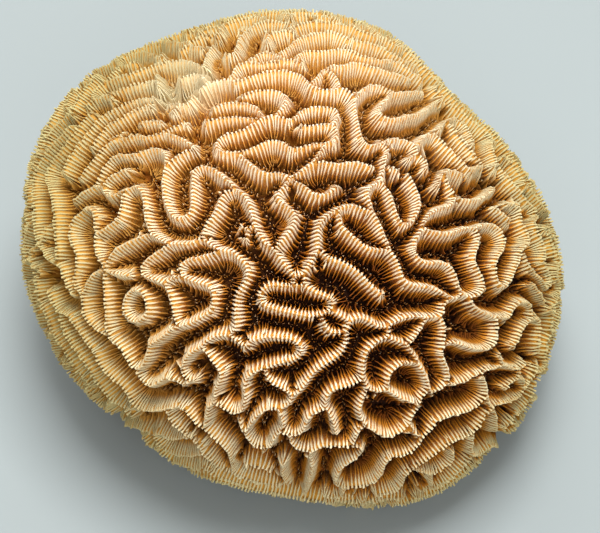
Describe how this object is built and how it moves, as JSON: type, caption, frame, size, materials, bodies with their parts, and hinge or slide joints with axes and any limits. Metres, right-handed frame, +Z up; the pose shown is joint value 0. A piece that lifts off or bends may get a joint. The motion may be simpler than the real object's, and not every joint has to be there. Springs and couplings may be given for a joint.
{
  "type": "star coral skeleton",
  "caption": "Domed head of dried stony coral, cut off flat below, with long winding ridges crossed by fine close plates and deep narrow valleys between them.",
  "frame": {"origin": "middle of the flat cut face that the head rests on, under the middle of its outline", "axes": "+Z up from the cut face, -Y towards the side that the picture shows, +X to the right in the picture"},
  "size_m": [0.1456, 0.1455, 0.0895],
  "materials": {
    "coral_skeleton": "matt, porous, cream on the ridges and brown in the valleys"
  },
  "bodies": {
    "root": {"coral_skeleton": "coral_skeleton"}
  },
  "joints": []
}
